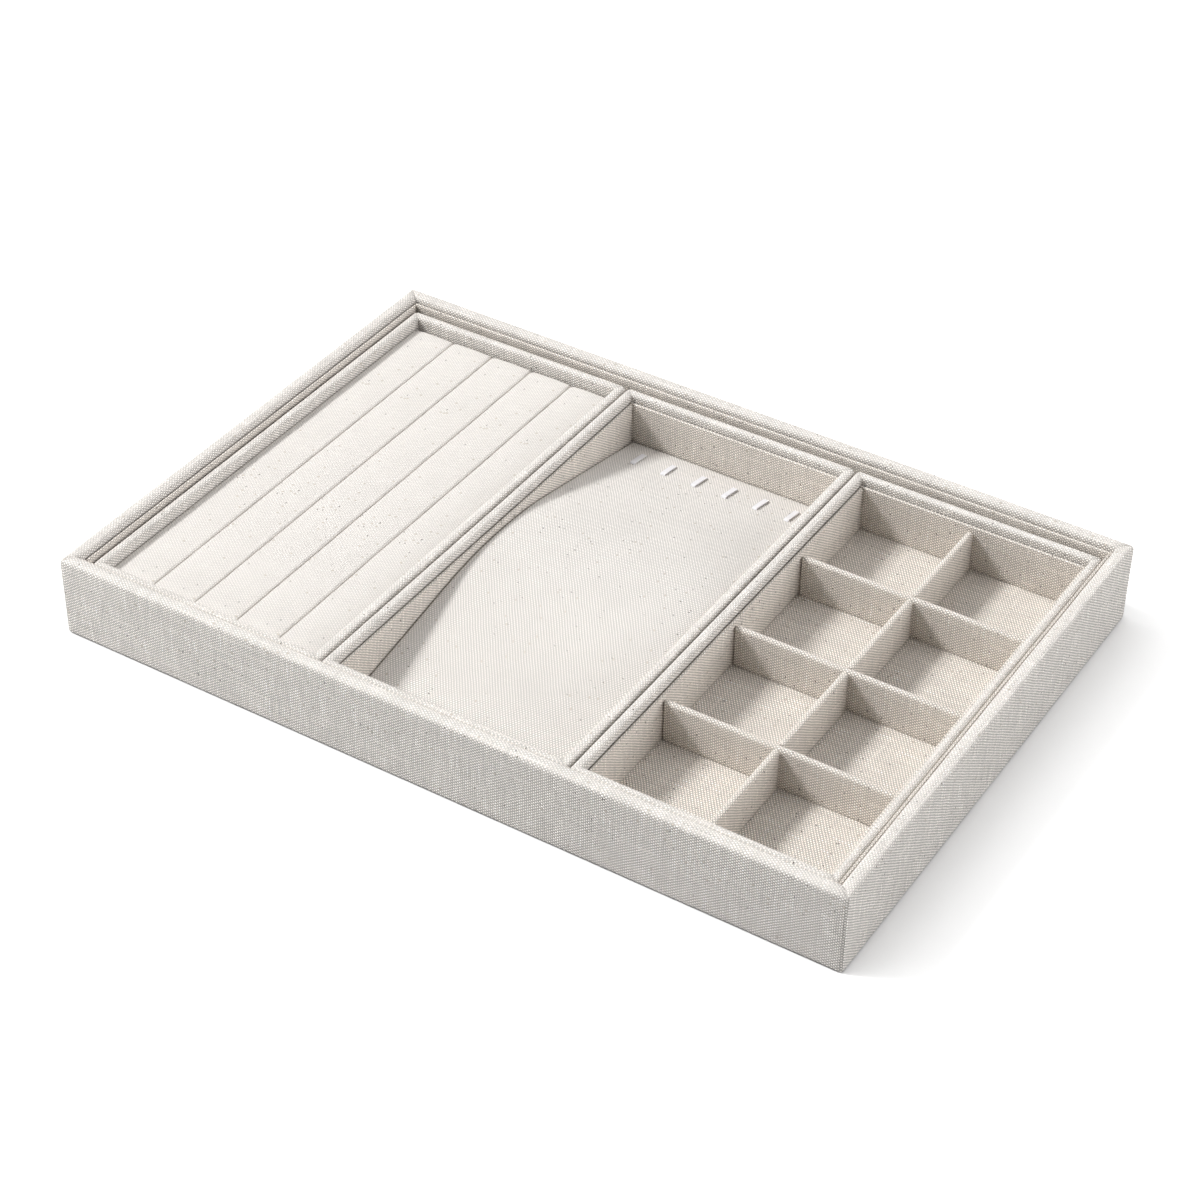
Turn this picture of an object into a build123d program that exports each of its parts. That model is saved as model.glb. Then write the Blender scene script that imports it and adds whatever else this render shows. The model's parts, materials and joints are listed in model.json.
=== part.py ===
from build123d import *
import os
from dataclasses import dataclass
from math import cos, radians, sqrt, tan

# A linen-covered jewelry tray that holds three lift-out insert trays.
# Millimetres. +X runs along the long side, +Y to the back, +Z up. The origin is the middle of the underside.

os.makedirs("parts", exist_ok=True)

BOTTOM = (Align.CENTER, Align.CENTER, Align.MIN)

# Outer tray
outer_length = 350.0
outer_width = 240.0
outer_height = 36.5
outer_wall = 6.0
outer_rim_radius = 2.2
outer_corner_radius = 1.2
outer_base_cloth = 0.6
outer_base_cloth_inset = 3.0
outer_base_board = 3.0
outer_rebate = 2.0
outer_hem = 12.0
outer_floor_card = 0.8
outer_lining = 2.0
outer_lining_drop = 2.5

# Cloth that covers every tray, and the cards that stand inside the walls
linen = 0.5
lining_edge_radius = 0.8

# Insert trays, three of one size
insert_count = 3
insert_gap = 0.6
insert_side_play = 0.5
insert_front_play = 0.4
insert_back_play = 1.6
insert_rim_drop = 4.2
insert_wall = 4.2
insert_rim_radius = 1.5
insert_corner_radius = 1.8
insert_base_cloth = 0.5
insert_base_cloth_inset = 2.0
insert_base_board = 1.5
insert_rebate = 1.2
insert_hem = 8.0
insert_floor_card = 0.6
insert_lining = 2.0
insert_lining_drop = 3.3

# Ring rolls
roll_count = 5
roll_top_drop = 4.4
roll_gap = 0.3
roll_end_gap = 0.4
roll_shoulder = 1.6
roll_crown = 0.5
roll_end_length = 3.6
roll_end_step = 1.2
roll_end_side_draw = 1.3
roll_end_top_draw = 2.4
roll_step_side_draw = 0.4
roll_step_top_draw = 0.8
roll_cover = 0.6

# Necklace ramp: two straight slopes that meet in a rounded crest
ramp_slope = 11.1
ramp_crest_reach = 38.0
ramp_end_height = 2.2
ramp_side_gap = 0.2
ramp_end_gap = 0.2
ramp_cover = 0.6
ramp_side_radius = 1.2

# Necklace loops: low staples of tape whose legs pass through slits in the ramp's cover
loop_count = 6
loop_pitch = 14.9
loop_span = 11.3
loop_width = 2.4
loop_tape = 0.5
loop_rise = 1.1
loop_bend_radius = 0.9
loop_from_back = 14.0
loop_slit_play = 0.15

# Compartment dividers: cloth-covered cards with halving joints
divider_thickness = 3.2
divider_drop_below_lining = 2.1
divider_edge_radius = 1.4
divider_slot_play = 0.1
cross_divider_names = ["cross_divider_front", "cross_divider_middle", "cross_divider_back"]


@dataclass
class Tray:
    """Sizes of one linen-wrapped tray, measured over its cloth."""
    name: str
    length: float
    width: float
    bottom: float
    top: float
    wall: float
    rim_radius: float
    corner_radius: float
    base_cloth: float
    base_cloth_inset: float
    base_board: float
    rebate: float
    hem: float
    floor_card: float
    centre_x: float = 0.0
    centre_y: float = 0.0

    @property
    def hem_bottom(self):
        return self.bottom + self.base_cloth

    @property
    def board_bottom(self):
        return self.hem_bottom + linen

    @property
    def board_top(self):
        return self.board_bottom + self.base_board

    @property
    def floor(self):
        return self.board_top + self.floor_card

    @property
    def inner_length(self):
        return self.length - 2 * self.wall

    @property
    def inner_width(self):
        return self.width - 2 * self.wall

    @property
    def base_length(self):
        return self.length - 2 * (self.wall - linen - self.rebate)

    @property
    def base_width(self):
        return self.width - 2 * (self.wall - linen - self.rebate)

    @property
    def place(self):
        return Pos(self.centre_x, self.centre_y, 0)


def save(name, shape):
    """Writes one piece under its node name."""
    shape.label = name
    export_step(shape, os.path.join("parts", name + ".step"))


def block(length, width, bottom, top):
    """A plain upright block on the centre line between two heights."""
    return Pos(0, 0, bottom) * Box(length, width, top - bottom, align=BOTTOM)


def wall_bar(length, thickness, bottom, top, rim_radius):
    """An upright wall along X, not yet mitred, with both edges of its rim rounded."""
    section = Rectangle(thickness, top - bottom, align=(Align.CENTER, Align.MIN))
    section = fillet(section.vertices().group_by(Axis.Y)[-1], rim_radius)
    return Pos(0, 0, bottom) * extrude(Plane.YZ * section, length / 2, both=True)


def mitre_wedge(length, width, reach, bottom, top, side):
    """An upright wedge that holds one wall of a frame, cut at 45 degrees at both corners."""
    x_out, y_out = length / 2, width / 2
    x_in, y_in = x_out - reach, y_out - reach
    corners = {
        "front": [(-x_out, -y_out), (x_out, -y_out), (x_in, -y_in), (-x_in, -y_in)],
        "back": [(-x_out, y_out), (x_out, y_out), (x_in, y_in), (-x_in, y_in)],
        "left": [(-x_out, -y_out), (-x_out, y_out), (-x_in, y_in), (-x_in, -y_in)],
        "right": [(x_out, -y_out), (x_out, y_out), (x_in, y_in), (x_in, -y_in)],
    }
    outline = make_face(Polyline(*corners[side], close=True))
    return Pos(0, 0, bottom) * extrude(outline, top - bottom, dir=(0, 0, 1))


def mitred_walls(length, width, thickness, bottom, top, corner_radius, rim_radius):
    """The four walls of a frame by side: round rims that meet in mitres, and rounded upright corners."""
    outline = Pos(0, 0, bottom) * extrude(RectangleRounded(length, width, corner_radius), top - bottom)
    long_bar = wall_bar(length, thickness, bottom, top, rim_radius)
    short_bar = Rot(0, 0, 90) * wall_bar(width, thickness, bottom, top, rim_radius)
    x = (length - thickness) / 2
    y = (width - thickness) / 2
    bars = {
        "front": Pos(0, -y, 0) * long_bar,
        "back": Pos(0, y, 0) * long_bar,
        "left": Pos(-x, 0, 0) * short_bar,
        "right": Pos(x, 0, 0) * short_bar,
    }
    return {
        side: bar & mitre_wedge(length, width, thickness, bottom, top, side) & outline
        for side, bar in bars.items()
    }


def base_board(tray):
    """The board that fills the bottom, let into a rebate all round the wall boards."""
    return block(tray.base_length, tray.base_width, tray.board_bottom, tray.board_top)


def wall_boards(tray):
    """The four wall boards by side, each with its rebate for the base board."""
    walls = mitred_walls(
        tray.length - 2 * linen,
        tray.width - 2 * linen,
        tray.wall - 2 * linen,
        tray.board_bottom,
        tray.top - linen,
        tray.corner_radius - linen,
        tray.rim_radius - linen,
    )
    return {side: wall - base_board(tray) for side, wall in walls.items()}


def wrap(tray):
    """The linen: up the outside, over the rim, down the inside to the base board, and a hem turned under."""
    walls = mitred_walls(
        tray.length,
        tray.width,
        tray.wall,
        tray.hem_bottom,
        tray.top,
        tray.corner_radius,
        tray.rim_radius,
    )
    hem_outline = extrude(RectangleRounded(tray.length, tray.width, tray.corner_radius), linen)
    hem_opening = block(tray.length - 2 * tray.hem, tray.width - 2 * tray.hem, 0, linen)
    skin = Pos(0, 0, tray.hem_bottom) * (hem_outline - hem_opening)
    for wall in walls.values():
        skin += wall
    for board in wall_boards(tray).values():
        skin -= board
    return skin - base_board(tray)


def base_cloth(tray):
    """The felt under a tray, pressed thinner at its border where it lies on the hem."""
    border = block(
        tray.length - 2 * tray.base_cloth_inset,
        tray.width - 2 * tray.base_cloth_inset,
        tray.bottom,
        tray.hem_bottom,
    )
    middle = block(tray.length - 2 * tray.hem, tray.width - 2 * tray.hem, tray.hem_bottom, tray.board_bottom)
    return border + middle


def build_tray(tray, floor_name):
    """Base cloth, base board, four mitred wall boards, linen wrap and floor card of one tray."""
    save(tray.name + "_base_cloth", tray.place * base_cloth(tray))
    save(tray.name + "_base_board", tray.place * base_board(tray))
    for side, board in wall_boards(tray).items():
        save(f"{tray.name}_{side}_board", tray.place * board)
    save(tray.name + "_wrap", tray.place * wrap(tray))
    floor = block(tray.inner_length, tray.inner_width, tray.board_top, tray.floor)
    save(floor_name, tray.place * floor)


def lining_card(length, thickness, bottom, top):
    """A cloth-covered card on edge, along X, with its top edge rounded."""
    card = block(length, thickness, bottom, top)
    top_edges = card.edges().filter_by(Axis.X).sort_by(Axis.Z)[-2:]
    return fillet(top_edges, lining_edge_radius)


def build_lining(tray, prefix, thickness, drop):
    """Four cards that stand on the floor card inside the walls: long ones at the front and back."""
    top = tray.top - drop
    y = (tray.inner_width - thickness) / 2
    x = (tray.inner_length - thickness) / 2
    long_card = lining_card(tray.inner_length, thickness, tray.floor, top)
    short_card = Rot(0, 0, 90) * lining_card(tray.inner_width - 2 * thickness, thickness, tray.floor, top)
    save(prefix + "_front", tray.place * Pos(0, -y, 0) * long_card)
    save(prefix + "_back", tray.place * Pos(0, y, 0) * long_card)
    save(prefix + "_left", tray.place * Pos(-x, 0, 0) * short_card)
    save(prefix + "_right", tray.place * Pos(x, 0, 0) * short_card)


def roll_section(width, height, y):
    """An upright section across a roll: straight sides, round shoulders and a slightly crowned top."""
    half = width / 2
    shoulder_foot = height - roll_crown - roll_shoulder
    shoulder_head = height - roll_crown
    flat = half - roll_shoulder
    bend = roll_shoulder * sqrt(0.5)
    edges = [
        Polyline((-half, shoulder_foot), (-half, 0), (half, 0), (half, shoulder_foot)),
        ThreePointArc((half, shoulder_foot), (flat + bend, shoulder_foot + bend), (flat, shoulder_head)),
        ThreePointArc((flat, shoulder_head), (0, height), (-flat, shoulder_head)),
        ThreePointArc((-flat, shoulder_head), (-flat - bend, shoulder_foot + bend), (-half, shoulder_foot)),
    ]
    return Plane.XZ.offset(-y) * make_face(edges)


def roll_form(width, height, length):
    """A soft roll along Y whose ends draw in at the sides and dip at the top."""
    end = length / 2
    step = end - roll_end_step
    full = end - roll_end_length
    stations = [
        (-end, roll_end_side_draw, roll_end_top_draw),
        (-step, roll_step_side_draw, roll_step_top_draw),
        (-full, 0, 0),
        (full, 0, 0),
        (step, roll_step_side_draw, roll_step_top_draw),
        (end, roll_end_side_draw, roll_end_top_draw),
    ]
    sections = [roll_section(width - 2 * side, height - top, y) for y, side, top in stations]
    return loft(sections, ruled=True)


def build_rolls(tray):
    """Five foam cores side by side, each in a linen sleeve that is open underneath."""
    pitch = tray.inner_length / roll_count
    width = pitch - roll_gap
    height = tray.top - roll_top_drop - tray.floor
    length = tray.inner_width - 2 * roll_end_gap
    core = roll_form(width - 2 * roll_cover, height - roll_cover, length - 2 * roll_cover)
    sleeve = roll_form(width, height, length) - core
    cores = []
    for index in range(roll_count):
        place = tray.place * Pos((index - (roll_count - 1) / 2) * pitch, 0, tray.floor)
        save(f"ring_roll_cover_{index + 1}", place * sleeve)
        cores.append(place * core)
    save("ring_roll_cores", Compound(cores))


def edge_is_upright(edge):
    """Says whether an edge runs straight along Z."""
    direction = edge.end_point() - edge.start_point()
    return abs(direction.Z) > max(abs(direction.X), abs(direction.Y))


def ramp_form(length, width, end_height, side_radius):
    """A block whose top rises along two straight slopes to a round crest across the middle."""
    slope = radians(ramp_slope)
    half = length / 2
    tangent_height = end_height + (half - ramp_crest_reach) * tan(slope)
    crest_height = tangent_height + ramp_crest_reach * tan(slope / 2)
    edges = [
        Polyline(
            (ramp_crest_reach, tangent_height),
            (half, end_height),
            (half, 0),
            (-half, 0),
            (-half, end_height),
            (-ramp_crest_reach, tangent_height),
        ),
        ThreePointArc(
            (-ramp_crest_reach, tangent_height),
            (0, crest_height),
            (ramp_crest_reach, tangent_height),
        ),
    ]
    profile = Plane.YZ * make_face(edges)
    ramp = extrude(profile, width / 2, both=True)
    side_edges = [edge for face in ramp.faces().filter_by(Axis.X) for edge in face.edges()]
    top_edges = [edge for edge in side_edges if edge.center().Z > end_height / 2 and not edge_is_upright(edge)]
    return fillet(top_edges, side_radius)


def loop_profile():
    """A staple of tape seen from its side, standing on the ramp's cover with its legs through it."""
    leg = ramp_cover * cos(radians(ramp_slope))
    outside = Pos(0, -leg) * Rectangle(loop_span, loop_rise + leg, align=(Align.CENTER, Align.MIN))
    outside = fillet(outside.vertices().group_by(Axis.Y)[-1], loop_bend_radius)
    inside = Pos(0, -leg) * Rectangle(
        loop_span - 2 * loop_tape,
        loop_rise + leg - loop_tape,
        align=(Align.CENTER, Align.MIN),
    )
    inside = fillet(inside.vertices().group_by(Axis.Y)[-1], loop_bend_radius - loop_tape)
    return outside - inside


def loop_places(tray, cover_length):
    """Where each loop stands: on the back slope of the ramp's cover, turned with the slope."""
    slope = radians(ramp_slope)
    y = cover_length / 2 - loop_from_back
    z = tray.floor + ramp_end_height + loop_from_back * tan(slope)
    return [
        Pos((index - (loop_count - 1) / 2) * loop_pitch, y, z) * Rot(-ramp_slope, 0, 0)
        for index in range(loop_count)
    ]


def build_ramp(tray):
    """The foam ramp, its linen cover with two slits for each loop, and the loops."""
    length = tray.inner_width - 2 * insert_lining - 2 * ramp_end_gap
    width = tray.inner_length - 2 * insert_lining - 2 * ramp_side_gap
    core_end_height = ramp_end_height - ramp_cover + ramp_cover * tan(radians(ramp_slope))
    stand = tray.place * Pos(0, 0, tray.floor)
    core = ramp_form(length - 2 * ramp_cover, width - 2 * ramp_cover, core_end_height, ramp_side_radius - ramp_cover)
    cover = ramp_form(length, width, ramp_end_height, ramp_side_radius) - core
    loop = extrude(Plane.YZ * loop_profile(), loop_width / 2, both=True)
    slit = Box(loop_width + 2 * loop_slit_play, loop_tape + 2 * loop_slit_play, 2 * loop_rise)
    slit_y = (loop_span - loop_tape) / 2
    cover = stand * cover
    loops = []
    for place in loop_places(tray, length):
        standing = tray.place * place
        cover -= standing * Pos(0, slit_y, 0) * slit
        cover -= standing * Pos(0, -slit_y, 0) * slit
        loops.append(standing * loop)
    save("necklace_ramp_core", stand * core)
    save("necklace_ramp_cover", cover)
    save("necklace_loops", Compound(loops))


def divider_card(length, bottom, top):
    """A cloth-covered card on edge, along X, with all its top edges rounded."""
    card = block(length, divider_thickness, bottom, top)
    top_face = card.faces().sort_by(Axis.Z)[-1]
    return fillet(top_face.edges(), divider_edge_radius)


def build_dividers(tray):
    """One long divider and three cross dividers, slotted half way into each other."""
    top = tray.top - insert_lining_drop - divider_drop_below_lining
    middle = (tray.floor + top) / 2
    slot_width = divider_thickness + 2 * divider_slot_play
    cross_length = tray.inner_length - 2 * insert_lining
    long_length = tray.inner_width - 2 * insert_lining
    cross_count = len(cross_divider_names)
    cell_width = (long_length - cross_count * divider_thickness) / (cross_count + 1)
    pitch = cell_width + divider_thickness
    low_slot = block(slot_width, slot_width, tray.floor, middle)
    high_slot = block(slot_width, slot_width, middle, top)
    cross_divider = divider_card(cross_length, tray.floor, top) - low_slot
    long_divider = Rot(0, 0, 90) * divider_card(long_length, tray.floor, top)
    for index, name in enumerate(cross_divider_names):
        place = Pos(0, (index - (cross_count - 1) / 2) * pitch, 0)
        save(name, tray.place * place * cross_divider)
        long_divider -= place * high_slot
    save("long_divider", tray.place * long_divider)


outer = Tray(
    name="outer",
    length=outer_length,
    width=outer_width,
    bottom=0.0,
    top=outer_height,
    wall=outer_wall,
    rim_radius=outer_rim_radius,
    corner_radius=outer_corner_radius,
    base_cloth=outer_base_cloth,
    base_cloth_inset=outer_base_cloth_inset,
    base_board=outer_base_board,
    rebate=outer_rebate,
    hem=outer_hem,
    floor_card=outer_floor_card,
)

insert_row = outer.inner_length - 2 * outer_lining - 2 * insert_side_play
insert_length = (insert_row - (insert_count - 1) * insert_gap) / insert_count
insert_width = outer.inner_width - 2 * outer_lining - insert_front_play - insert_back_play
insert_pitch = insert_length + insert_gap


def insert_tray(name, index):
    """One insert tray, standing on the outer tray's floor; index counts from the left."""
    return Tray(
        name=name,
        length=insert_length,
        width=insert_width,
        bottom=outer.floor,
        top=outer.top - insert_rim_drop,
        wall=insert_wall,
        rim_radius=insert_rim_radius,
        corner_radius=insert_corner_radius,
        base_cloth=insert_base_cloth,
        base_cloth_inset=insert_base_cloth_inset,
        base_board=insert_base_board,
        rebate=insert_rebate,
        hem=insert_hem,
        floor_card=insert_floor_card,
        centre_x=(index - (insert_count - 1) / 2) * insert_pitch,
        centre_y=(insert_front_play - insert_back_play) / 2,
    )


ring_tray = insert_tray("ring_tray", 0)
necklace_tray = insert_tray("necklace_tray", 1)
compartment_tray = insert_tray("compartment_tray", 2)

build_tray(outer, "outer_floor_lining")
build_lining(outer, "outer_lining", outer_lining, outer_lining_drop)

build_tray(ring_tray, "ring_tray_floor_card")
build_rolls(ring_tray)

build_tray(necklace_tray, "necklace_tray_floor_card")
build_lining(necklace_tray, "necklace_lining", insert_lining, insert_lining_drop)
build_ramp(necklace_tray)

build_tray(compartment_tray, "compartment_tray_floor_lining")
build_lining(compartment_tray, "compartment_lining", insert_lining, insert_lining_drop)
build_dividers(compartment_tray)
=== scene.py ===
import json
import math

import bmesh
import bpy
from mathutils import Matrix, Vector, noise


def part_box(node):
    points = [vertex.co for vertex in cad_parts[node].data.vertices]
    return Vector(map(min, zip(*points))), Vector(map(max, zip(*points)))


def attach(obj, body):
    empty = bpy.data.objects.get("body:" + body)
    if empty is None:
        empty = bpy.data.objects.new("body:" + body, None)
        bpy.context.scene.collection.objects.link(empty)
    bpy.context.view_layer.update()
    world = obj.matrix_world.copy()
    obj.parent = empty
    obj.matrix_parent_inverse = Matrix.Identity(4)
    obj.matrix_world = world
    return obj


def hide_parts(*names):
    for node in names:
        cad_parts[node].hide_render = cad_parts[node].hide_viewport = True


# The looks of a linen-covered jewelry tray with three lift-out insert trays.
# Metres, in the frame of the CAD model: +X along the tray, +Y to the back, +Z up.

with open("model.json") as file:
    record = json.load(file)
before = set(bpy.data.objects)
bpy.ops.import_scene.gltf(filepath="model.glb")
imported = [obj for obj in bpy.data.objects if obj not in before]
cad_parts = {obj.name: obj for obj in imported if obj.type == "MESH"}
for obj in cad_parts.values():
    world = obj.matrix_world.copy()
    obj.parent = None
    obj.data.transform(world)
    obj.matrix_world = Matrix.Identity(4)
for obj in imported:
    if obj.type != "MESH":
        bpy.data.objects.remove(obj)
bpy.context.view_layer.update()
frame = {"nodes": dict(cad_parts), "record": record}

MM = 0.001

TRAYS = ("ring_tray", "necklace_tray", "compartment_tray")
SIDES = ("front", "back", "left", "right")
CROSS_DIVIDERS = ("cross_divider_front", "cross_divider_middle", "cross_divider_back")

# The cloth, and the slow waves in its surface
CLOTH = 0.5 * MM
CLOTH_WAVE = 0.07 * MM
CLOTH_WAVE_LENGTH = 22 * MM
CARD_WAVE = 0.6 * CLOTH_WAVE
WAVE_SEED_STEPS = (7.3, 3.1, 5.7)

# Threads, counted along U and V of the cloth
THREAD_U = 0.88 * MM
THREAD_V = 0.65 * MM
THREAD_DRIFT = 0.9
THREAD_DRIFT_LENGTH = 9 * MM
DRIFT_OFFSET = (0.31, 0.17, 0.0)
CROSSING_BLUR = 0.12
BULGE_POWER = 0.55
THREAD_STEP = 3.17
THREAD_PACE = 0.05
WEFT_SEED_STEP = 5.0

# Relief of the threads: its depth, and other heights as shares of it
THREAD_RELIEF = 0.3 * MM
WEFT_HEIGHT = 0.6
SLUB_HEIGHT = 0.35
THIN_DEPTH = 0.2

# Tones of the threads: each pair is where an effect begins and where it is full
# Painted shade: from upright faces to faces that look up, the weave's shade goes from one depth to another
UPWARD_RANGE = (0.25, 0.85)
SLUB_RANGE = (0.6, 0.74)
THIN_RANGE = (0.4, 0.28)
STREAK_RANGE = (0.25, 0.75)
# Painted shade where the threads dip apart, and painted light on their crowns, by how far they bulge
GAP_SHADE_TONE = -0.4
GAP_SHADE_SPAN = 0.62
# A darker weft and a lighter warp: partly the yarn's own tone and partly painted shade of the weave's relief
WEFT_TONE_AND_SHADE = -0.3
WARP_SPAN = 0.47
CLOUD_LENGTH = 34 * MM
CLOUD_RANGE = (0.3, 0.7)
CLOUD_DEPTH = 0.015

# Flecks in the linen
TAN_FLECK = (0.40, 0.31, 0.2, 1.0)
TAN_FLECK_SHARE = 0.006
TAN_FLECK_DEPTH = 0.5
DARK_SPECK = (0.07, 0.05, 0.035, 1.0)
SPECK_WIDTH = 0.42 * MM
SPECK_LENGTH = 0.7 * MM
SPECK_CORE_SHARE = 0.3
SPECK_DEPTH = 0.95
SPECK_SEED_STEP = 9.0

# Grain of boards, foam and felt
GRAIN_DETAIL = 6.0
GRAIN_ROUGHNESS = 0.65
GRAIN_RELIEF = 0.2 * MM
GRAIN_RANGE = (0.35, 0.65)
PATCH_LENGTH = 25 * MM
PATCH_SHARE = 0.3

# Tape of the loops
TAPE_WHITE = (0.82, 0.81, 0.83, 1.0)
TAPE_RIB = 0.3 * MM
TAPE_PICK = 0.22 * MM
TAPE_PICK_SHARE = 0.4
# Painted shade in the grooves between the tape's ribs
TAPE_GROOVE_SHADE = 0.93
TAPE_RELIEF = 0.05 * MM

# Wraps
FOLD_RADIUS = 0.3 * MM
HEM_EDGE_RADIUS = 0.6 * MM
OUTER_CORNER_RADIUS = 1.2 * MM
OUTER_RIM_RADIUS = 2.2 * MM
OUTER_HEM = 12 * MM
OUTER_CROWN = 0.12 * MM
OUTER_FOLD_DEPTH = 0.35 * MM
INSERT_CORNER_RADIUS = 1.8 * MM
INSERT_RIM_RADIUS = 1.5 * MM
INSERT_HEM = 8 * MM
INSERT_CROWN = 0.1 * MM
INSERT_FOLD_DEPTH = 0.2 * MM
INSERT_PULL = 0.2 * MM

# Rows of points round a wrap's section, and stations along it
HEM_ROWS = 3
HEM_EDGE_ROWS = 4
WALL_ROWS = 10
RIM_ROWS = 7
RIM_TOP_ROWS = 4
INSIDE_ROWS = 8
GLUED_ROWS = 3
WRAP_SPACING = 5 * MM
CORNER_STEPS = 6

# Lofted forms
LEAST_RADIUS = 0.1 * MM
RADIUS_LIMIT_SHARE = 0.45
FOOT_ROWS = 3
SHOULDER_ROWS = 6
END_STEPS = 4

# Cards: linings, floors and dividers
CARD_PLAY = 0.12 * MM
CARD_SPACING = 4 * MM
CARD_FOOT_RADIUS = 0.5 * MM
CARD_END_LIMIT_SHARE = 0.35
UPRIGHT_CARD_ROWS = (6, 2)
FLAT_CARD_ROWS = (2, 24)
SEAM_GAP = 0.28 * MM
WALL_GAP = 0.38 * MM
LINING_EDGE_RADIUS = 0.65 * MM
LINING_END_RADIUS = 0.4 * MM
FLOOR_EDGE_RADIUS = 0.3 * MM
DIVIDER_EDGE_RADIUS = 1.4 * MM
CROSS_DIVIDER_END_RADIUS = 0.9 * MM
LONG_DIVIDER_END_RADIUS = 0.5 * MM
LONG_DIVIDER_DROP = 0.15 * MM
CROSS_DIVIDER_SEED = 41
LONG_DIVIDER_SEED = 50

# Ring rolls
ROLL_COUNT = 5
ROLL_SPACING = 4 * MM
ROLL_EDGE_RADIUS = 1.0 * MM
ROLL_FOOT_RADIUS = 0.4 * MM
ROLL_CROWN = 0.45 * MM
ROLL_END_PLAY = 0.3 * MM
ROLL_END_LENGTH = 3.6 * MM
ROLL_END_SIDE_DRAW = 1.3 * MM
ROLL_END_TOP_DRAW = 2.4 * MM
ROLL_LIFT = 0.12 * MM
ROLL_BULGE = 0.16 * MM
ROLL_BULGE_LENGTH = 30 * MM
ROLL_WAIST = 0.12 * MM
ROLL_WAIST_LENGTH = 25 * MM
ROLL_WAIST_SEED = 20
ROLL_DRAW_LENGTH = 0.7

# Necklace ramp
RAMP_SPACING = 3 * MM
RAMP_CREST_REACH = 38 * MM
RAMP_END_HEIGHT = 2.2 * MM
RAMP_EDGE_RADIUS = 1.3 * MM
RAMP_FOOT_RADIUS = 0.3 * MM
RAMP_END_RADIUS = 0.7 * MM
RAMP_PUFF = 0.25 * MM
RAMP_PUFF_POWER = 8
RAMP_SINK = 0.2 * MM
RAMP_WAVE = 0.2 * MM
RAMP_WAVE_LENGTH = 45 * MM
RAMP_SEED = 61

# Necklace loops, with their greatest turn in degrees
LOOP_COUNT = 6
LOOP_WIDTH = 2.4 * MM
LOOP_TAPE = 0.5 * MM
LOOP_EDGE_RADIUS = 0.2 * MM
LOOP_RISE = 0.7 * MM
LOOP_BEND = 0.7 * MM
LOOP_LEG_DEPTH = 0.5 * MM
LOOP_END_PLAY = 0.3 * MM
LOOP_ROWS = 6
LOOP_TURN = 2.2
LOOP_DRAW_LENGTH = 0.6
LOOP_SEED = 71

# Floor and surroundings
FLOOR_HALF_SIZE = 3.0
FLOOR_ALBEDO = 0.45
FLOOR_SHADE = 0.84
# White emission on the floor, which fades as painted shade where the tray closes the floor in
FLOOR_GLOW = 0.56
FLOOR_PAINTED_SHADE_REACH = 60 * MM
FLOOR_OPEN_RANGE = (0.4, 0.95)
WORLD_LIGHT = 0.05

# Camera: angles in degrees, place, lens and sensor in millimetres, and the clip range in metres
CAMERA_AZIMUTH = 31.553
CAMERA_ELEVATION = 38.038
CAMERA_ROLL = -0.972
CAMERA_PLACE = (470.5, -766.3, 715.8)
CAMERA_LENS = 85.856
CAMERA_SENSOR = 36.0
CAMERA_CLIP = (0.01, 20.0)

# The direction of the key light and of its halo
KEY_DIRECTION = (-0.668, -0.24, 0.704)


# Meshes

class Skin:
    """Points, faces and the weave's place on each face corner, gathered before they become one mesh."""

    def __init__(self):
        self.points = []
        self.faces = []
        self.maps = []
        self.last_ring = None
        self.last_map = None

    def add_ring(self, points):
        """Adds a ring of points and returns their numbers."""
        first = len(self.points)
        self.points.extend(points)
        return list(range(first, first + len(points)))

    def join_rings(self, ring_a, ring_b, map_a, map_b):
        """Joins two closed rings with four-sided faces. A map has one entry more than its ring."""
        count = len(ring_a)
        for i in range(count):
            j = (i + 1) % count
            self.faces.append((ring_a[i], ring_b[i], ring_b[j], ring_a[j]))
            self.maps.append((map_a[i], map_b[i], map_b[i + 1], map_a[i + 1]))

    def close_ring(self, ring, ring_map):
        """Fills a ring with one face."""
        self.faces.append(tuple(ring))
        self.maps.append(tuple(ring_map))

    def extend_form(self, points, ring_map, end_map):
        """Adds the next ring of a closed form: the first one is filled, each later one is joined on."""
        ring = self.add_ring(points)
        if self.last_ring is None:
            self.close_ring(ring, end_map)
        else:
            self.join_rings(self.last_ring, ring, self.last_map, ring_map)
        self.last_ring = ring
        self.last_map = ring_map

    def end_form(self, end_map):
        """Fills the last ring of a closed form."""
        self.close_ring(self.last_ring, end_map)

    def piece(self, name, material, body):
        """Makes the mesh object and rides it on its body."""
        mesh = bpy.data.meshes.new(name)
        mesh.from_pydata(self.points, [], self.faces)
        weave = mesh.uv_layers.new(name="Weave")
        corners = [value for face in self.maps for corner in face for value in corner]
        weave.data.foreach_set("uv", corners)
        shell = bmesh.new()
        shell.from_mesh(mesh)
        bmesh.ops.recalc_face_normals(shell, faces=shell.faces)
        shell.to_mesh(mesh)
        shell.free()
        mesh.shade_smooth()
        made = bpy.data.objects.new(name, mesh)
        bpy.context.scene.collection.objects.link(made)
        mesh.materials.append(material)
        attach(made, body)
        return made


def wave(point, length, seed):
    """Smooth noise from -1 to 1 at a point, with features of about the given length."""
    return noise.noise(Vector(point) / length + Vector([seed * step for step in WAVE_SEED_STEPS]))


def arc(centre_a, centre_b, radius, start, end, steps):
    """Points on an arc in a plane, ends included, with angles in degrees."""
    angles = [math.radians(start + (end - start) * i / steps) for i in range(steps + 1)]
    return [(centre_a + radius * math.cos(t), centre_b + radius * math.sin(t)) for t in angles]


def line(start, end, steps):
    """Points between two points of a plane, without the ends."""
    return [
        tuple(start[k] + (end[k] - start[k]) * i / steps for k in range(2))
        for i in range(1, steps)
    ]


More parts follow.
